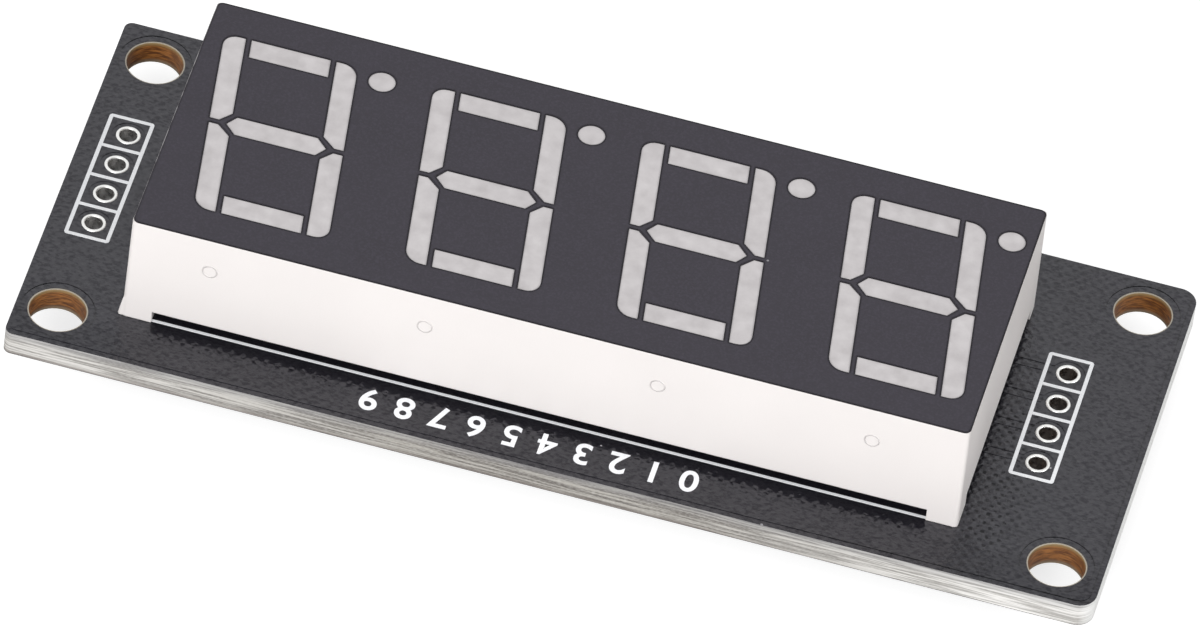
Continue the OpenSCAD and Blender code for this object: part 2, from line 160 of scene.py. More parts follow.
# %% [markdown]
# ## Softboxes
# A softbox is a lamp behind a large white cloth, and its shadows are soft. A large one stands before the
# near side and lights the walls there, a small one fills from the right, and a weak one hangs overhead.
# Blender's rectangular area lamp does the same. It takes a place, a size and a power.

# %% Hang the softboxes
SOFTBOXES = {  # azimuth and elevation in degrees; distance, width and height in m; power in W
    "front_softbox": (-16, 30, 0.7, 0.6, 0.4, 3.8),
    "right_fill": (75, 30, 0.8, 0.4, 0.3, 2.25),
    "top_softbox": (0, 80, 0.8, 0.5, 0.5, 0.2),
}


def softbox(name, azimuth, elevation, distance, width, height, power):
    """Hang a rectangular lamp round the object and turn it to the object's middle."""
    lamp = bpy.data.lights.new(name, "AREA")
    lamp.shape = "RECTANGLE"
    lamp.size = width
    lamp.size_y = height
    lamp.energy = power
    holder = bpy.data.objects.new(name, lamp)
    bpy.context.scene.collection.objects.link(holder)
    away = direction(azimuth, elevation)
    holder.location = away * distance
    holder.rotation_mode = "QUATERNION"
    holder.rotation_quaternion = (-away).to_track_quat("-Z", "Y")
    print("lamp", name, "power", power)


for name, numbers in SOFTBOXES.items():
    softbox(name, *numbers)

# %% [markdown]
# ## Floor
# The module lies on a wide sheet of matt paper. Pale grey paper throws less light back at the walls than
# white paper would, so the walls stay even from top to bottom. It should still look white, so it glows for
# the eye alone. The glow lights nothing, and the module's shadow stays in it.

# %% Lay the floor
FLOOR_SIDE = 8.0
FLOOR_GLOW = 0.7
PAPER_GREY = "#CACACA"

floor_mesh = bpy.data.meshes.new("floor")
half = FLOOR_SIDE / 2
corners = [(-half, -half, 0), (half, -half, 0), (half, half, 0), (-half, half, 0)]
floor_mesh.from_pydata(corners, [], [(0, 1, 2, 3)])
floor = bpy.data.objects.new("floor", floor_mesh)
bpy.context.scene.collection.objects.link(floor)

paper = bpy.data.materials.new("white_paper_sweep")
paper.use_nodes = True
tree = paper.node_tree
tree.nodes.clear()
ray = add(tree, "LightPath")
matt = add(tree, "BsdfDiffuse", {"Color": PAPER_GREY})
glow_level = add(tree, "Math", {0: ray.outputs["Is Camera Ray"], 1: FLOOR_GLOW}, operation="MULTIPLY")
glow = add(tree, "Emission", {"Color": "#FFFFFF", "Strength": glow_level})
both = add(tree, "AddShader", {0: matt, 1: glow})
add(tree, "OutputMaterial", {"Surface": both})
floor_mesh.materials.append(paper)
print("floor:", FLOOR_SIDE, "m square, glow for the eye", FLOOR_GLOW)

# %% [markdown]
# ## How every material starts and ends
# One Principled shader covers plastic, metal, lacquer and resin, so each finish ends in one. It starts from
# where a point lies on the object, and nodes turn that place into colour, gloss and relief. A painted
# skin would have to be unwrapped from every solid and fitted to it, and this needs no unwrapping.

# %% Start and end a material
def start_material(name):
    """Make an empty material, and return it with its node tree and the place of a point on the object."""
    made = bpy.data.materials.new(name)
    made.use_nodes = True
    tree = made.node_tree
    tree.nodes.clear()
    return made, tree, add(tree, "TexCoord").outputs["Object"]


def end_material(tree, inputs):
    """Put the shader at the end of the nodes, with what goes into its sockets."""
    shader = add(tree, "BsdfPrincipled", inputs)
    add(tree, "OutputMaterial", {"Surface": shader})


print("helpers:", start_material.__name__, "and", end_material.__name__)

# %% [markdown]
# ## Black solder mask
# Solder mask is a thin epoxy lacquer cast over the copper. Black mask is glossy, so what the eye sees is
# mostly a faint mirror of the studio: grey under the white sky, and black beside the dark gap below the
# display.
#
# Where the lacquer runs over the edge of the copper it steps down, and painted shade draws that step as a
# dark hairline round the mounting holes and along the rim. Each line could be drawn by hand. A distance
# does for all of them, so the first thing needed is how far a point lies from the rim and from the holes.

# %% Measure distances on the board
MOUNT_INSET_LEFT = 2.5
MOUNT_INSET_RIGHT = 2.8
MOUNT_INSET_SIDE = 2.75

board_low, board_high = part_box("circuit_board")
mount_x = (board_low.x + MOUNT_INSET_LEFT * MM, board_high.x - MOUNT_INSET_RIGHT * MM)
mount_y = board_high.y - MOUNT_INSET_SIDE * MM


def distance_to_rim(tree, where):
    """Distance from a point inside the board to its nearest straight edge."""
    folded = add(tree, "VectorMath", {0: where}, operation="ABSOLUTE")
    gaps = add(tree, "VectorMath", {0: board_high, 1: folded}, operation="SUBTRACT")
    axes = add(tree, "SeparateXYZ", {0: gaps})
    return add(tree, "Math", {0: axes.outputs["X"], 1: axes.outputs["Y"]}, operation="MINIMUM")


def distance_to_mount(tree, where):
    """Distance to the axis of the nearest mounting hole. The holes mirror each other along Y."""
    axes = add(tree, "SeparateXYZ", {0: where})
    far_half = add(tree, "Math", {0: axes.outputs["Y"]}, operation="ABSOLUTE")
    folded = add(tree, "CombineXYZ", {"X": axes.outputs["X"], "Y": far_half})
    left, right = [
        add(tree, "VectorMath", {0: folded, 1: (x, mount_y, 0.0)}, operation="DISTANCE")
        for x in mount_x
    ]
    return add(tree, "Math", {0: left, 1: right}, operation="MINIMUM")


def hairline(tree, distance, middle, half_width):
    """Answer 1 where distance equals middle, fading to 0 half_width away on both sides. Sizes in mm."""
    off = add(tree, "Math", {0: distance, 1: middle * MM}, operation="SUBTRACT")
    off = add(tree, "Math", {0: off}, operation="ABSOLUTE")
    return add(tree, "MapRange", {"Value": off, "From Max": half_width * MM, "To Min": 1.0, "To Max": 0.0})


print("mounting holes at", [round(x / MM, 2) for x in mount_x], "and", round(mount_y / MM, 2))

# %% [markdown]
# ## Glass cloth under the lacquer
# The glass cloth in the board prints through the mask as a plain weave, with a thread every 0.36 mm. Two
# sine waves, one along the board and one across it, multiply to the ups and downs of such a weave. Real
# threads wander, so a slow noise shifts the waves by up to 0.3 mm. A modelled weave would need thousands
# of crossings for the same look.

# %% Weave the glass cloth
THREAD = 0.36
SWAY = 0.3
SWAY_PATCH = 2.5


def weave_height(tree, where, thread):
    """Height of a plain weave: up where the thread along X is on top, down where the other one is."""
    drift = add(tree, "TexNoise", {"Vector": where, "Scale": per(SWAY_PATCH), "Detail": 1.0})
    drift = add(tree, "VectorMath", {0: drift.outputs["Color"], "Scale": SWAY * MM}, operation="SCALE")
    shifted = add(tree, "VectorMath", {0: where, 1: drift}, operation="ADD")
    turns = add(tree, "VectorMath", {0: shifted, "Scale": math.pi * per(thread)}, operation="SCALE")
    axes = add(tree, "SeparateXYZ", {0: turns})
    along = add(tree, "Math", {0: axes.outputs["X"]}, operation="SINE")
    across = add(tree, "Math", {0: axes.outputs["Y"]}, operation="SINE")
    return add(tree, "Math", {0: along, 1: across}, operation="MULTIPLY")


print("threads across the board:", round((board_high.y - board_low.y) / MM / THREAD))

# %% [markdown]
# ## Dimples of the mask
# Between the threads the lacquer sinks into dimples, which are duller and darker. They are patchy, and are
# made strongest in a strip beside the right end of the display, more towards its near side. The low places
# of the weave give the dimples. Noise, and the place on the board, say how strong each one is.

# %% Start the solder mask, and find its dimples
UNEVEN_PATCH = 0.3
LEAST_WEAVE = 0.2  # what is left of the weave where a small patch is faintest
FAINT_PATCH = 4.0
LEAST_DIMPLE = 0.5  # what is left of the dimples where a large patch is faintest
STRIP_STARTS = (22.5, 24.0)  # mm along X, from none to all of the strip
STRIP_STOPS = (29.0, 25.5)
STRIP_NEAR_HALF = (5.0, 0.0)  # mm along Y, from the weaker half of the strip to the stronger
WEAKER_HALF = 0.3
STRONGER_HALF = 0.85
ELSEWHERE = 0.12  # strength of the dimples outside the strip
DIMPLE_DEPTHS = (-0.08, -0.55)  # of the weave's height, from the brim of a dimple to its bottom

mask_material, tree, where = start_material("black_solder_mask")
axes = add(tree, "SeparateXYZ", {0: where})
weave = weave_height(tree, where, THREAD)
uneven = add(tree, "TexNoise", {"Vector": where, "Scale": per(UNEVEN_PATCH), "Detail": 2.0})
patchy = add(tree, "MapRange", {
    "Value": uneven, "From Min": 0.38, "From Max": 0.6, "To Min": LEAST_WEAVE, "To Max": 1.0,
})
weave = add(tree, "Math", {0: weave, 1: patchy}, operation="MULTIPLY")

starts = add(tree, "MapRange", {
    "Value": axes.outputs["X"], "From Min": STRIP_STARTS[0] * MM, "From Max": STRIP_STARTS[1] * MM,
})
stops = add(tree, "MapRange", {
    "Value": axes.outputs["X"], "From Min": STRIP_STOPS[0] * MM, "From Max": STRIP_STOPS[1] * MM,
})
near_half = add(tree, "MapRange", {
    "Value": axes.outputs["Y"], "From Min": STRIP_NEAR_HALF[0] * MM, "From Max": STRIP_NEAR_HALF[1] * MM,
    "To Min": WEAKER_HALF, "To Max": STRONGER_HALF,
})
strip = add(tree, "Math", {0: starts, 1: stops}, operation="MULTIPLY")
strip = add(tree, "Math", {0: strip, 1: near_half}, operation="MULTIPLY")
strip = add(tree, "MapRange", {"Value": strip, "To Min": ELSEWHERE, "To Max": 1.0})

faint = add(tree, "TexNoise", {"Vector": where, "Scale": per(FAINT_PATCH), "Detail": 2.0})
strength = add(tree, "MapRange", {
    "Value": faint, "From Min": 0.35, "From Max": 0.6, "To Min": LEAST_DIMPLE, "To Max": 1.0,
})
strength = add(tree, "Math", {0: strength, 1: strip}, operation="MULTIPLY")
dimple = add(tree, "MapRange", {
    "Value": weave, "From Min": DIMPLE_DEPTHS[0], "From Max": DIMPLE_DEPTHS[1],
})
dimple = add(tree, "Math", {0: dimple, 1: strength}, operation="MULTIPLY")
print("strip of thin lacquer from", STRIP_STARTS[0], "to", STRIP_STOPS[0], "mm along X")

# %% [markdown]
# ## Colour of the mask
# The lacquer is nearly black, and its dimples are darker still. Painted shade darkens the step at the edge
# of the copper to a hairline, and the hairline of the rim shows at the right only. A few grains of dust lie
# on
# the lacquer: a Voronoi texture cuts the board into cells, and the middle of a cell becomes a grain where
# the cell's own number is high.

# %% Colour the mask
MASK_DARK = "#131217"
MASK_LIGHT = "#1D1C22"
DIMPLE_BLACK = "#050506"
COPPER_STEP_SHADE = "#030305"
MASK_CLOUD = 2.5
MOUNT_KEEPOUT = 2.2  # radius of the ring round a mounting hole that has no copper
RIM_KEEPOUT = 0.35
STEP_HALF_WIDTH = 0.09
RIM_LINE_STARTS = (8.0, 20.0)  # mm along X, from no hairline to all of it
DUST = "#A3A2A6"
DUST_SPACING = 2.6
DUST_REACH = 0.03
DUST_RARITY = 0.62

clouds = add(tree, "TexNoise", {"Vector": where, "Scale": per(MASK_CLOUD), "Detail": 4.0})
colour = add(tree, "Mix", {0: clouds, 6: MASK_DARK, 7: MASK_LIGHT}, data_type="RGBA")
colour = add(tree, "Mix", {0: dimple, 6: colour, 7: DIMPLE_BLACK}, data_type="RGBA")

at_mount = hairline(tree, distance_to_mount(tree, where), MOUNT_KEEPOUT, STEP_HALF_WIDTH)
at_rim = hairline(tree, distance_to_rim(tree, where), RIM_KEEPOUT, STEP_HALF_WIDTH)
right_part = add(tree, "MapRange", {
    "Value": axes.outputs["X"], "From Min": RIM_LINE_STARTS[0] * MM, "From Max": RIM_LINE_STARTS[1] * MM,
})
at_rim = add(tree, "Math", {0: at_rim, 1: right_part}, operation="MULTIPLY")
# Painted shade: a dark hairline at the copper step round the mounting holes, and along the rim at the right
step = add(tree, "Math", {0: at_mount, 1: at_rim}, operation="MAXIMUM")
colour = add(tree, "Mix", {0: step, 6: colour, 7: COPPER_STEP_SHADE}, data_type="RGBA")

cells = add(tree, "TexVoronoi", {"Vector": where, "Scale": per(DUST_SPACING)})
middle = add(tree, "Math", {0: cells.outputs["Distance"], 1: DUST_REACH}, operation="LESS_THAN")
chosen = add(tree, "Math", {0: cells.outputs["Color"], 1: DUST_RARITY}, operation="GREATER_THAN")
grain = add(tree, "Math", {0: middle, 1: chosen}, operation="MULTIPLY")
colour = add(tree, "Mix", {0: grain, 6: colour, 7: DUST}, data_type="RGBA")
print("mask hairlines", MOUNT_KEEPOUT, "mm from the mounts and", RIM_KEEPOUT, "mm from the rim")

# %% [markdown]
# ## Gloss and relief of the mask
# On black lacquer the reflection shows, and the colour hardly does. Under an even white sky a rough spot
# reflects as much as a smooth one, so roughness alone can't draw a dull spot. The specular tint can: it
# dims the reflection in a fine grit and in the dimples, and along the near margin it dims it as painted
# shade. Weave and grit also raise the surface by a hundredth of a millimetre or two, as the orange peel of
# a lacquer does.

# %% Set the mask's gloss and relief
GRIT = 0.17
GRIT_STRETCH = (0.6, 1.0, 1.0)
GRIT_DULLNESS = 0.5
NEAR_MARGIN = (-10.6, -11.4)  # mm along Y, from none to all of the margin's painted shade
MARGIN_PAINTED_SHADE = 0.22
GLOSSY_TINT = "#F8F8FF"
DULL_TINT = "#77777D"
MASK_ROUGHNESS = 0.15
DIMPLE_ROUGHNESS = 0.5
MASK_IOR = 1.7  # epoxy has about 1.55, and a higher one matches the strong gloss of this lacquer
SWELL_HEIGHT = 0.015
LEAST_PEEL = 0.012
MOST_PEEL = 0.03

grit_space = add(tree, "VectorMath", {0: where, 1: GRIT_STRETCH}, operation="MULTIPLY")
grit = add(tree, "TexNoise", {"Vector": grit_space, "Scale": per(GRIT), "Detail": 3.0})
dull = add(tree, "MapRange", {
    "Value": grit, "From Min": 0.46, "From Max": 0.62, "To Max": GRIT_DULLNESS,
})
# Painted shade: the reflection of the lacquer is dimmed along the near margin
near_margin_shade = add(tree, "MapRange", {
    "Value": axes.outputs["Y"], "From Min": NEAR_MARGIN[0] * MM, "From Max": NEAR_MARGIN[1] * MM,
    "To Max": MARGIN_PAINTED_SHADE,
})
dull = add(tree, "Math", {0: dull, 1: near_margin_shade}, operation="ADD")
dull = add(tree, "Math", {0: dull, 1: dimple}, operation="MAXIMUM")
tint = add(tree, "Mix", {0: dull, 6: GLOSSY_TINT, 7: DULL_TINT}, data_type="RGBA")
gloss = add(tree, "MapRange", {
    "Value": dimple, "To Min": MASK_ROUGHNESS, "To Max": DIMPLE_ROUGHNESS,
})

swell = add(tree, "Math", {0: weave, 1: SWELL_HEIGHT}, operation="MULTIPLY")
peel = add(tree, "MapRange", {"Value": strength, "To Min": LEAST_PEEL, "To Max": MOST_PEEL})
peel = add(tree, "Math", {0: peel, 1: grit}, operation="MULTIPLY")
height = add(tree, "Math", {0: swell, 1: peel}, operation="ADD")
relief = add(tree, "Bump", {"Height": height, "Distance": MM})
end_material(tree, {
    "Base Color": colour, "Specular Tint": tint, "Roughness": gloss, "IOR": MASK_IOR, "Normal": relief,
})
print("solder mask nodes:", len(tree.nodes))

# %% [markdown]
# ## Glass and epoxy laminate
# The board is woven glass pressed in epoxy, in plies about 0.18 mm thick. It is one solid with three looks:
# the routed rim, the same rim at its right end, and the drilled holes. Faces could be picked by hand for
# each look. Here the distance to the rim, the side that a face looks to, and the height tell them apart.
#
# Noise that is stretched along the board draws the plies as level streaks. Finer and coarser ones mix, and
# the coarse ones are wider than a real ply, so that they show.

# %% Start the laminate, and find its zones
RIM_DEPTH = 0.4  # the rim's look ends this far inside the board, and the holes' look begins
STREAK = 0.12
ALONG_THE_BOARD = (0.03, 0.03, 1.0)

laminate, tree, where = start_material("glass_epoxy_laminate")
axes = add(tree, "SeparateXYZ", {0: where})
facing = add(tree, "SeparateXYZ", {0: add(tree, "NewGeometry").outputs["Normal"]})
height = add(tree, "MapRange", {
    "Value": axes.outputs["Z"], "From Min": board_low.z, "From Max": board_high.z,
})
inside = add(tree, "Math", {0: distance_to_rim(tree, where), 1: RIM_DEPTH * MM}, operation="GREATER_THAN")
right_side = add(tree, "MapRange", {"Value": facing.outputs["X"], "From Min": 0.3, "From Max": 0.95})

streak_space = add(tree, "VectorMath", {0: where, 1: ALONG_THE_BOARD}, operation="MULTIPLY")
streaks = add(tree, "TexNoise", {"Vector": streak_space, "Scale": per(STREAK), "Detail": 6.0})
ply = add(tree, "MapRange", {"Value": streaks, "From Min": 0.42, "From Max": 0.58})
print("laminate thickness:", round((board_high.z - board_low.z) / MM, 2))

# %% [markdown]
# ## Colour of the routed rim
# The cutter crushed the glass, which turned it white, and burnt the resin, which turned it dark. The rim
# pales towards both ends of the board, and most at the right. Small chips left pale spots. Grey lacquer
# dust clings to its upper part, and a brown line runs along the bottom, except at the right. The face that
# looks to the right is painted almost white, as painted light on that side.

# %% Colour the routed rim
RIGHT_END = (8.0, 28.0)  # mm along X, from the rim's middle look to its look at the end
LEFT_END = (-8.0, -28.0)
LEFT_SHARE = 0.58
LIGHT_PLY = ("#ABA7A0", "#F4F2EF")  # in the middle and at the ends
DARK_PLY = ("#68635E", "#A9A6A2")
CHIP = 0.07
CHIP_STRETCH = (0.3, 0.3, 1.0)
CHIP_WHITE = "#E2E0DB"
CHIP_SHARE = 0.3
LACQUER_DUST = "#86868A"
DUSTY_PART = (0.6, 1.0)  # shares of the thickness, from no dust to all of it
DUST_SHARE = 0.55
BOTTOM_BROWN = "#736A65"
BROWN_PART = (0.2, 0.05)
BROWN_SHARE = 0.6
BROWN_ENDS = (22.0, 8.0)  # mm along X, from no brown to all of it
# Painted light: the face of the rim that looks to the right is almost white
RIGHT_SIDE_PAINTED_LIGHT = ("#EFEFED", "#FBFBFA")

right_end = add(tree, "MapRange", {
    "Value": axes.outputs["X"], "From Min": RIGHT_END[0] * MM, "From Max": RIGHT_END[1] * MM,
})
left_end = add(tree, "MapRange", {
    "Value": axes.outputs["X"], "From Min": LEFT_END[0] * MM, "From Max": LEFT_END[1] * MM,
    "To Max": LEFT_SHARE,
})
ends = add(tree, "Math", {0: right_end, 1: left_end}, operation="MAXIMUM")
light_ply = add(tree, "Mix", {0: ends, 6: LIGHT_PLY[0], 7: LIGHT_PLY[1]}, data_type="RGBA")
dark_ply = add(tree, "Mix", {0: ends, 6: DARK_PLY[0], 7: DARK_PLY[1]}, data_type="RGBA")
near_rim = add(tree, "Mix", {0: ply, 6: dark_ply, 7: light_ply}, data_type="RGBA")

chip_space = add(tree, "VectorMath", {0: where, 1: CHIP_STRETCH}, operation="MULTIPLY")
chips = add(tree, "TexNoise", {"Vector": chip_space, "Scale": per(CHIP), "Detail": 3.0})
chipped = add(tree, "MapRange", {
    "Value": chips, "From Min": 0.4, "From Max": 0.7, "To Max": CHIP_SHARE,
})
near_rim = add(tree, "Mix", {0: chipped, 6: near_rim, 7: CHIP_WHITE}, data_type="RGBA")

dusty = add(tree, "MapRange", {
    "Value": height, "From Min": DUSTY_PART[0], "From Max": DUSTY_PART[1], "To Max": DUST_SHARE,
})
near_rim = add(tree, "Mix", {0: dusty, 6: near_rim, 7: LACQUER_DUST}, data_type="RGBA")

browned = add(tree, "MapRange", {
    "Value": axes.outputs["X"], "From Min": BROWN_ENDS[0] * MM, "From Max": BROWN_ENDS[1] * MM,
    "To Max": BROWN_SHARE,
})
lower = add(tree, "MapRange", {"Value": height, "From Min": BROWN_PART[0], "From Max": BROWN_PART[1]})
lower = add(tree, "Math", {0: lower, 1: browned}, operation="MULTIPLY")
near_rim = add(tree, "Mix", {0: lower, 6: near_rim, 7: BOTTOM_BROWN}, data_type="RGBA")

# Painted light: the right-facing side of the rim takes the almost white colour
lit_right_rim = add(tree, "Mix", {0: ply, 6: RIGHT_SIDE_PAINTED_LIGHT[0], 7: RIGHT_SIDE_PAINTED_LIGHT[1]}, data_type="RGBA")
rim = add(tree, "Mix", {0: right_side, 6: near_rim, 7: lit_right_rim}, data_type="RGBA")
print("the rim pales from", RIGHT_END[0], "mm to the right and", -LEFT_END[0], "mm to the left")

# %% [markdown]
# ## Colour of the drilled holes
# A drill leaves a smoother wall than a router, with level marks. Light comes through the resin round a
# hole, so the wall is brown. Bands by height pale it towards both faces of the board: painted light for
# the light that comes in at both ends of the hole. The top band is the thin pale rim of bare laminate.
# Each band turns the wall to its own colour between two shares of the board's thickness.

# %% Colour the drilled holes, and finish the laminate
# Painted light: the first two bands pale the wall towards both faces; the last is the pale rim of bare
# laminate
PAINTED_LIGHT_AND_RIM_BANDS = [  # from this share of the thickness to that one, the wall turns to this colour
    (0.2, 0.06, "#8C7A64"),
    (0.8, 0.95, "#9A8156"),
    (0.97, 0.99, "#B3AB9D"),
]
DRILL_MARK = 0.08
DRILL_STRETCH = (0.12, 0.12, 1.0)
RESIN_BROWN = ("#5A3314", "#9C6631")
RIM_ROUGHNESS = 0.6
HOLE_ROUGHNESS = 0.4
LAMINATE_IOR = 1.52
STREAK_DEPTH = 0.02

drill_space = add(tree, "VectorMath", {0: where, 1: DRILL_STRETCH}, operation="MULTIPLY")
drill_marks = add(tree, "TexNoise", {"Vector": drill_space, "Scale": per(DRILL_MARK), "Detail": 4.0})
drill_marks = add(tree, "MapRange", {"Value": drill_marks, "From Min": 0.4, "From Max": 0.62})
drilled = add(tree, "Mix", {0: drill_marks, 6: RESIN_BROWN[0], 7: RESIN_BROWN[1]}, data_type="RGBA")
for start, end, shade in PAINTED_LIGHT_AND_RIM_BANDS:
    band = add(tree, "MapRange", {"Value": height, "From Min": start, "From Max": end})
    drilled = add(tree, "Mix", {0: band, 6: drilled, 7: shade}, data_type="RGBA")

colour = add(tree, "Mix", {0: inside, 6: rim, 7: drilled}, data_type="RGBA")
gloss = add(tree, "MapRange", {"Value": inside, "To Min": RIM_ROUGHNESS, "To Max": HOLE_ROUGHNESS})
relief = add(tree, "Bump", {"Height": streaks, "Distance": STREAK_DEPTH * MM})
end_material(tree, {"Base Color": colour, "Roughness": gloss, "IOR": LAMINATE_IOR, "Normal": relief})
print("laminate nodes:", len(tree.nodes))

# %% [markdown]
# ## White polycarbonate housing
# The display's housing is moulded in polycarbonate filled with titanium white, which reflects the light of
# the dies. It is satin, with a very fine spark-eroded grain from the mould and almost no colour change.
#
# Most small parts need no more than this: one colour that wavers a little, a gloss that wavers with it, a
# fine grain, and edges that catch the light as if they were rounded. One recipe covers them all. The words
# and numbers given to it say what the material is.

# %% Write the recipe for a plain finish, and make the housing plastic
def plain_finish(name, light, dark, patch, roughness, spread, grain, depth,
                 metallic=0.0, ior=1.5, edge=0.02):
    """A colour that wavers between light and dark in patches, with a fine grain and softened edges.

    Sizes are in mm: patch, grain, depth of the grain, and radius of the edges.
    """
    made, tree, where = start_material(name)
    clouds = add(tree, "TexNoise", {"Vector": where, "Scale": per(patch), "Detail": 3.0})
    colour = add(tree, "Mix", {0: clouds, 6: dark, 7: light}, data_type="RGBA")
    gloss = add(tree, "MapRange", {
        "Value": clouds, "From Min": 0.3, "From Max": 0.7,
        "To Min": roughness - spread, "To Max": roughness + spread,
    })
    fine = add(tree, "TexNoise", {"Vector": where, "Scale": per(grain), "Detail": 2.0})
    soft = add(tree, "Bevel", {"Radius": edge * MM}, samples=4)
    relief = add(tree, "Bump", {"Height": fine, "Distance": depth * MM, "Normal": soft})
    end_material(tree, {
        "Base Color": colour, "Metallic": metallic, "Roughness": gloss, "IOR": ior, "Normal": relief,
    })
    return made


housing_plastic = plain_finish(
    "white_polycarbonate", light="#F3EEEC", dark="#EDE8E6", patch=6.0,
    roughness=0.42, spread=0.05, grain=0.14, depth=0.006, ior=1.585, edge=0.1)
print("housing plastic nodes:", len(housing_plastic.node_tree.nodes))

# %% [markdown]
# ## Matt face film
# A dark grey polyester film, printed matt, covers the face between the windows. It is rough enough to
# show no reflections. The grain of the print makes it a little uneven, and a few grains of dust lie on it.
# At the left end the film stops a hair short, in a broken line, and the white plastic shows there.

# %% Colour the face film
FILM_DARK = "#242029"
FILM_LIGHT = "#2C2832"
PRINT_GREY = "#3B3743"
FILM_CLOUD = 3.0
PRINT_GRAIN = 0.14
GRAIN_SHARE = 0.5
FILM_DUST = "#8C8B8F"
FILM_DUST_SPACING = 2.2
FILM_DUST_REACH = 0.035
FILM_DUST_RARITY = 0.6
BARE_HAIRLINE = 0.05
BARE_PATCH = 1.2
LEAST_BARE = 0.2
MOST_BARE = 0.9
BARE_PLASTIC = "#A9A6A8"

film_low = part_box("face_film")[0]
film, tree, where = start_material("matt_printed_polyester")
clouds = add(tree, "TexNoise", {"Vector": where, "Scale": per(FILM_CLOUD), "Detail": 3.0})
colour = add(tree, "Mix", {0: clouds, 6: FILM_DARK, 7: FILM_LIGHT}, data_type="RGBA")
print_grain = add(tree, "TexNoise", {"Vector": where, "Scale": per(PRINT_GRAIN), "Detail": 2.0})
paler = add(tree, "MapRange", {
    "Value": print_grain, "From Min": 0.45, "From Max": 0.7, "To Max": GRAIN_SHARE,
})
colour = add(tree, "Mix", {0: paler, 6: colour, 7: PRINT_GREY}, data_type="RGBA")

cells = add(tree, "TexVoronoi", {"Vector": where, "Scale": per(FILM_DUST_SPACING)})
middle = add(tree, "Math", {0: cells.outputs["Distance"], 1: FILM_DUST_REACH}, operation="LESS_THAN")
chosen = add(tree, "Math", {0: cells.outputs["Color"], 1: FILM_DUST_RARITY}, operation="GREATER_THAN")
grain = add(tree, "Math", {0: middle, 1: chosen}, operation="MULTIPLY")
colour = add(tree, "Mix", {0: grain, 6: colour, 7: FILM_DUST}, data_type="RGBA")

bare = add(tree, "MapRange", {
    "Value": add(tree, "SeparateXYZ", {0: where}).outputs["X"],
    "From Min": film_low.x + BARE_HAIRLINE * MM, "From Max": film_low.x + BARE_HAIRLINE / 2 * MM,
})
broken = add(tree, "TexNoise", {"Vector": where, "Scale": per(BARE_PATCH), "Detail": 3.0})
broken = add(tree, "MapRange", {
    "Value": broken, "From Min": 0.42, "From Max": 0.6, "To Min": LEAST_BARE, "To Max": MOST_BARE,
})
bare = add(tree, "Math", {0: bare, 1: broken}, operation="MULTIPLY")
print("the film's left edge is at", round(film_low.x / MM, 2), "mm")

# %% [markdown]
# ## Cut edges of the film
# The cut edges round the windows and along the border are made darker than the face, with a duller
# reflection. The edge is only 0.05 mm high, too thin to colour by its side alone. A Bevel node answers
# with a normal that is rounded near an edge. Where it differs from the true one, an edge is close.

# %% Find the cut edges, and finish the film
CUT_EDGE = 0.2  # wider than the thin dark line it stands for, so that it shows
NEARLY_ALIKE = 0.999  # two normals that point the same way agree by 1
ROUNDED = 0.97
CUT_BLACK = "#0C0B0D"
CUT_TINT = "#2E2E2E"
FILM_ROUGHNESS = 0.55
FILM_IOR = 1.5  # polyester has 1.6, and the matt ink on it about 1.5
FILM_GRAIN = 0.07
FILM_GRAIN_DEPTH = 0.004


def near_edge(tree, radius):
    """Answer 1 on a sharp edge and 0 a radius (in mm) away, by how far the normal is rounded there."""
    rounded = add(tree, "Bevel", {"Radius": radius * MM}, samples=6)
    true_normal = add(tree, "NewGeometry").outputs["True Normal"]
    agree = add(tree, "VectorMath", {0: rounded, 1: true_normal}, operation="DOT_PRODUCT")
    return add(tree, "MapRange", {"Value": agree, "From Min": NEARLY_ALIKE, "From Max": ROUNDED})


cut_edge = near_edge(tree, CUT_EDGE)
colour = add(tree, "Mix", {0: cut_edge, 6: colour, 7: CUT_BLACK}, data_type="RGBA")
colour = add(tree, "Mix", {0: bare, 6: colour, 7: BARE_PLASTIC}, data_type="RGBA")
tint = add(tree, "Mix", {0: cut_edge, 6: "#FFFFFF", 7: CUT_TINT}, data_type="RGBA")
fine = add(tree, "TexNoise", {"Vector": where, "Scale": per(FILM_GRAIN), "Detail": 2.0})
relief = add(tree, "Bump", {"Height": fine, "Distance": FILM_GRAIN_DEPTH * MM})
end_material(tree, {
    "Base Color": colour, "Specular Tint": tint, "Roughness": FILM_ROUGHNESS,
    "IOR": FILM_IOR, "Normal": relief,
})
print("face film nodes:", len(tree.nodes))

# %% [markdown]
# ## Tin on the header holes
# The rings and barrels of the header holes are copper with tin left by hot air levelling: a bright metal
# with slow waves. Inside the barrels the tin is painted darker and browner, most of all at the right end:
# painted shade deep in the holes. Rings and barrels are one solid, so the height tells them apart: a point
# is in a barrel when it is clearly between the two faces of the board.

# %% Make the tin
BRIGHT_TIN = ("#E6E6E4", "#F6F6F4")
PALE_BARREL_SHADE = ("#F2F1F0", "#CFC6C0")  # at the left end of the board and at the right end
DARK_BARREL_SHADE = ("#D6D4D2", "#A79A92")
TIN_WAVE = 0.3
SMOOTH_TIN = 0.22
DULL_TIN = 0.36
TIN_RIPPLE = 0.35
RIPPLE_DEPTH = 0.01
BARREL_DEPTH = 0.06  # below the face of the board, where the painted shade is complete
TIN_EDGE = 0.02

tin, tree, where = start_material("hot_air_levelled_tin")
axes = add(tree, "SeparateXYZ", {0: where})
waves = add(tree, "TexNoise", {"Vector": where, "Scale": per(TIN_WAVE), "Detail": 3.0})
bright = add(tree, "Mix", {0: waves, 6: BRIGHT_TIN[0], 7: BRIGHT_TIN[1]}, data_type="RGBA")

side = add(tree, "MapRange", {
    "Value": axes.outputs["X"], "From Min": board_low.x, "From Max": board_high.x,
})
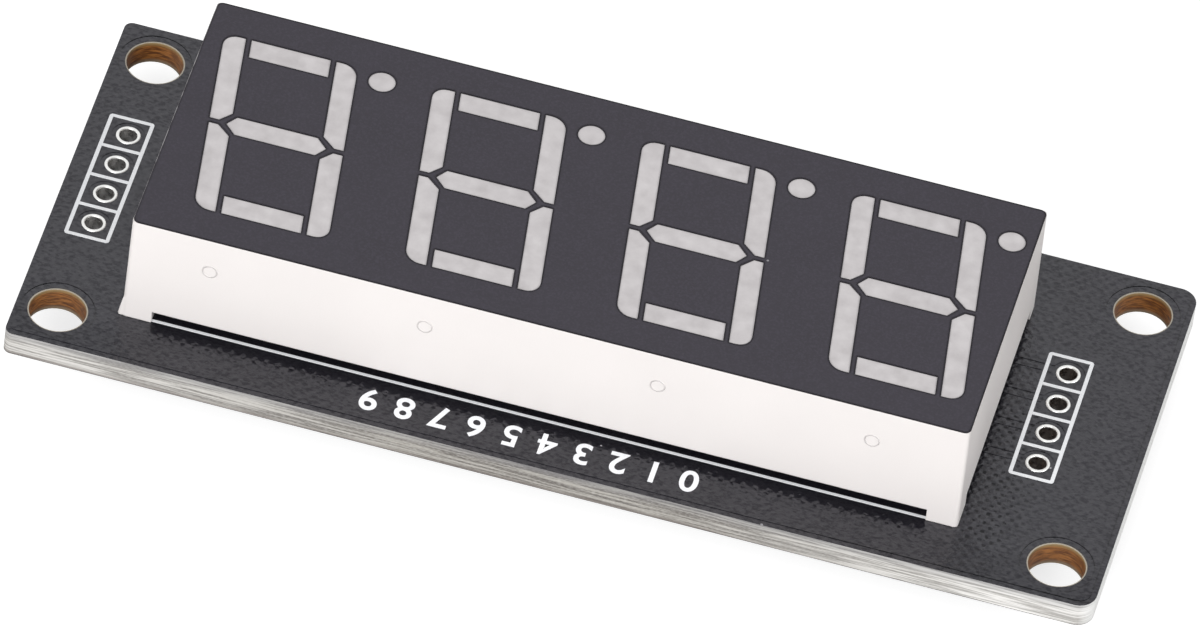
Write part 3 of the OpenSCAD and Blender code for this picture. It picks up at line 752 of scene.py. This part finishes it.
# Painted shade inside the barrels, darker and browner towards the right end
pale_shade = add(tree, "Mix", {0: side, 6: PALE_BARREL_SHADE[0], 7: PALE_BARREL_SHADE[1]}, data_type="RGBA")
dark_shade = add(tree, "Mix", {0: side, 6: DARK_BARREL_SHADE[0], 7: DARK_BARREL_SHADE[1]}, data_type="RGBA")
shaded = add(tree, "Mix", {0: waves, 6: dark_shade, 7: pale_shade}, data_type="RGBA")

middle_z = (board_low.z + board_high.z) / 2
off_middle = add(tree, "Math", {0: axes.outputs["Z"], 1: middle_z}, operation="SUBTRACT")
off_middle = add(tree, "Math", {0: off_middle}, operation="ABSOLUTE")
in_barrel = add(tree, "MapRange", {
    "Value": off_middle, "From Min": board_high.z - middle_z,
    "From Max": board_high.z - middle_z - BARREL_DEPTH * MM,
})
colour = add(tree, "Mix", {0: in_barrel, 6: bright, 7: shaded}, data_type="RGBA")

gloss = add(tree, "MapRange", {
    "Value": waves, "From Min": 0.3, "From Max": 0.7, "To Min": SMOOTH_TIN, "To Max": DULL_TIN,
})
ripple = add(tree, "TexNoise", {"Vector": where, "Scale": per(TIN_RIPPLE), "Detail": 2.0})
soft = add(tree, "Bevel", {"Radius": TIN_EDGE * MM}, samples=4)
relief = add(tree, "Bump", {"Height": ripple, "Distance": RIPPLE_DEPTH * MM, "Normal": soft})
end_material(tree, {"Base Color": colour, "Metallic": 1.0, "Roughness": gloss, "Normal": relief})
print("tin is stained between both faces of the board, less", BARREL_DEPTH, "mm")

# %% [markdown]
# ## Finishes of the display and the board
# The rest are plain finishes. Each starts from what the part is really made of, and a few words say what
# the eye gets from it. The epoxy in the windows is the one that shows most: the powder in it, which
# spreads the light of a die over its whole window, also makes it wavy grey when the display is off.

# %% Make the finishes of the display and the board
finishes = {
    # Clear epoxy with a diffusing powder: a soft warm grey that wavers like wet salt
    "segment_epoxy": plain_finish(
        "diffusing_cast_epoxy", light="#E2DEDF", dark="#B6B1B2", patch=0.9,
        roughness=0.38, spread=0.06, grain=0.25, depth=0.004, ior=1.53),
    # Screen printed epoxy ink: chalky, and a little uneven
    "legend_ink": plain_finish(
        "white_epoxy_ink", light="#FCFDFF", dark="#F0F3F7", patch=0.25,
        roughness=0.5, spread=0.05, grain=0.06, depth=0.004),
    # Green laminate inside the display
    "carrier_laminate": plain_finish(
        "green_masked_laminate", light="#5E8052", dark="#4D6E43", patch=0.8,
        roughness=0.35, spread=0.05, grain=0.3, depth=0.006),
    # Gallium arsenide dies: dull gold squares
    "led_die": plain_finish(
        "gallium_arsenide_die", light="#CDB46F", dark="#B89C58", patch=0.1,
        roughness=0.3, spread=0.05, grain=0.05, depth=0.001),
    "tin_plating": tin,
    "housing_plastic": housing_plastic,
    "face_film": film,
    "solder_mask": mask_material,
    "laminate": laminate,
}
print("finishes so far:", len(finishes))

# %% [markdown]
# ## Finishes of the solder, the pins and the leads
# Solder, tin and wire are all bright metals, and differ in how they were made. Solder freezes in frosty
# patches, a drawn wire is smooth, and tin plated on a lead is matt. A metal keeps the shader's own IOR.

# %% Make the metal finishes
finishes.update({
    # Lead-free solder: bright, with frosty patches where it froze
    "solder": plain_finish(
        "lead_free_solder", light="#DBDBDA", dark="#C0C1C1", patch=0.3,
        roughness=0.28, spread=0.12, grain=0.2, depth=0.01, metallic=1.0),
    # Tinned brass wire: bright, with drawing marks
    "pin_metal": plain_finish(
        "tinned_brass_wire", light="#D6D5D0", dark="#C2C1BC", patch=0.4,
        roughness=0.25, spread=0.05, grain=0.15, depth=0.004, metallic=1.0),
    # Matt tin on copper leads
    "lead_metal": plain_finish(
        "matt_tin_on_copper", light="#CFCFCE", dark="#BBBBBA", patch=0.3,
        roughness=0.38, spread=0.06, grain=0.08, depth=0.004, metallic=1.0),
    # Nickel and tin caps of the small parts
    "terminal_metal": plain_finish(
        "tinned_nickel_cap", light="#CDCDCB", dark="#B9B9B6", patch=0.25,
        roughness=0.36, spread=0.06, grain=0.06, depth=0.004, metallic=1.0),
})
print("finishes so far:", len(finishes))

# %% [markdown]
# ## Finishes of the parts on the back
# The back carries the driver chip and a few parts of the size of a grain of rice. Their bodies are ceramic
# or moulding compound, and mostly matt.

# %% Make the finishes of the back
finishes.update({
    # Moulding compound, epoxy full of quartz powder: dark, dull, like fine sandpaper
    "chip_plastic": plain_finish(
        "moulding_compound", light="#2B2B2D", dark="#222224", patch=0.8,
        roughness=0.55, spread=0.06, grain=0.12, depth=0.012, ior=1.55, edge=0.08),
    # Fired barium titanate: brown and dense
    "capacitor_ceramic": plain_finish(
        "fired_titanate_ceramic", light="#B89B73", dark="#A5875F", patch=0.2,
        roughness=0.45, spread=0.05, grain=0.05, depth=0.003),
    # Alumina: white and chalky
    "resistor_ceramic": plain_finish(
        "white_alumina", light="#EDECE7", dark="#DFDED8", patch=0.2,
        roughness=0.5, spread=0.05, grain=0.05, depth=0.004),
    # Black overglaze of the resistors: smooth and glassy
    "resistor_glaze": plain_finish(
        "black_overglaze", light="#26262A", dark="#1C1C20", patch=0.3,
        roughness=0.22, spread=0.04, grain=0.15, depth=0.003),
})
print("finishes:", len(finishes))

# %% [markdown]
# ## Finishes on the solids
# Each solid came with an empty material whose name says what the part is made of. That material is swapped
# for the finish of the same name. To go by the name is safer than a list of solids: a solid that joins
# the CAD model later gets its finish too.

# %% Put each finish on its solids
dressed = 0
for part in parts.values():
    for place in part.material_slots:
        slot_name = place.material.name
        place.material = finishes[slot_name]
        dressed += 1
print("solids dressed:", dressed)

# %% [markdown]
# ## Numerals on the board
# A board like this has a line of white print along its near margin. Here it is the plain numerals 0 to 9,
# with their tops towards the near edge, so that they read from the far side. They could be drawn as
# curves by hand. A text object gives the same shapes at once, a little extra width makes them bold, and a
# thin extrusion makes them solid ink.

# %% Type the numerals
PRINT_HEIGHT = 1.65
FIGURE_SHARE = 0.7  # height of a numeral as a share of the type size
WORD_GAP = 1.47
EXTRA_WIDTH = 0.04
INK_THICKNESS = 0.02
CURVE_STEPS = 6

letters = bpy.data.curves.new("margin_numerals", "FONT")
letters.body = "0 1 2 3 4 5 6 7 8 9"
letters.size = PRINT_HEIGHT / FIGURE_SHARE * MM
letters.space_word = WORD_GAP
letters.align_x = "CENTER"
letters.align_y = "CENTER"
letters.offset = EXTRA_WIDTH * MM
letters.extrude = INK_THICKNESS / 2 * MM
letters.resolution_u = CURVE_STEPS
typed = bpy.data.objects.new("typed", letters)
bpy.context.scene.collection.objects.link(typed)
bpy.context.view_layer.update()
shaped = typed.evaluated_get(bpy.context.evaluated_depsgraph_get())
numeral_mesh = bpy.data.meshes.new_from_object(shaped)
bpy.data.objects.remove(typed)
print("corners of the numerals:", len(numeral_mesh.vertices))

# %% [markdown]
# ## Ink on the board
# The ink lies on the mask, level with the rest of the legend, and in the middle under the display. An
# added piece has to be one closed skin, take a finish, and ride on the body it is fixed to. Two helpers do
# this for the numerals and again for the marks of the mould.

# %% Print the numerals on the board
PRINT_INSET = 2.0
DOUBLED = 0.0005

ink_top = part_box("legend_ink_top")[1].z
housing_low, housing_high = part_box("display_housing")
print_place = Vector((
    (housing_low.x + housing_high.x) / 2,
    board_low.y + PRINT_INSET * MM,
    ink_top - INK_THICKNESS / 2 * MM,
))
numeral_mesh.transform(Matrix.Translation(print_place) @ Matrix.Rotation(math.pi, 4, "Z"))


def show(name, mesh, slot):
    """Show a mesh as a piece of the object, with the finish of one of the record's slots."""
    mesh.name = name
    mesh.materials.clear()
    mesh.materials.append(finishes[slot])
    piece = bpy.data.objects.new(name, mesh)
    bpy.context.scene.collection.objects.link(piece)
    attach(piece, "root")
    return piece


def close_skin(mesh):
    """Merge the doubled points of a mesh into one closed skin, and return how many edges stay open."""
    work = bmesh.new()
    work.from_mesh(mesh)
    bmesh.ops.remove_doubles(work, verts=work.verts, dist=DOUBLED * MM)
    bmesh.ops.recalc_face_normals(work, faces=work.faces)
    open_edges = sum(1 for edge in work.edges if len(edge.link_faces) != 2)
    work.to_mesh(mesh)
    work.free()
    return open_edges


open_edges = close_skin(numeral_mesh)
numerals = show("margin_numerals", numeral_mesh, "legend_ink")
print("numerals:", [round(side / MM, 2) for side in numerals.dimensions], "open edges", open_edges)

# %% [markdown]
# ## Marks of the mould
# The mould leaves a small raised ring under each digit on the near wall. It is barely higher than the
# wall, and shows only where the light grazes it. A bump in the material would look the same from far
# away. Swept rings also keep their form up close: each is a circle with a low half-round section, whose
# root is sunk into the wall.

# %% Add the mould marks
MARK_RADIUS = 0.43
MARK_WIDTH = 0.12
MARK_HEIGHT = 0.025  # from the root to the crest
MARK_DROP = 2.45
WALL_LEAN = 0.03  # from the foot of the leaning wall back to the root of the marks
MARK_PLACES = (5.15, 18.1, 32.1, 44.95)  # from the left end of the housing
MARK_STEPS = 32
MARK_SECTION = 6

mark_points = []
mark_faces = []
ring = MARK_SECTION + 1  # points round the half-round section
for place in MARK_PLACES:
    centre_x = housing_low.x / MM + place
    centre_z = housing_high.z / MM - MARK_DROP
    first = len(mark_points)
    for step in range(MARK_STEPS):
        turn = math.tau * step / MARK_STEPS
        for part_of_section in range(ring):
            bend = math.pi * part_of_section / MARK_SECTION
            radius = MARK_RADIUS + MARK_WIDTH / 2 * math.cos(bend)
            lift = MARK_HEIGHT * math.sin(bend)
            mark_points.append((
                (centre_x + radius * math.cos(turn)) * MM,
                housing_low.y + (WALL_LEAN - lift) * MM,
                (centre_z + radius * math.sin(turn)) * MM,
            ))
    for step in range(MARK_STEPS):
        here = first + step * ring
        there = first + (step + 1) % MARK_STEPS * ring
        for k in range(ring):
            after = (k + 1) % ring
            mark_faces.append((here + k, there + k, there + after, here + after))

mark_mesh = bpy.data.meshes.new("mould_marks")
mark_mesh.from_pydata(mark_points, [], mark_faces)
open_edges = close_skin(mark_mesh)
marks = show("mould_marks", mark_mesh, "housing_plastic")
for face in mark_mesh.polygons:
    face.use_smooth = True
print("mould marks:", [round(side / MM, 2) for side in marks.dimensions], "open edges", open_edges)
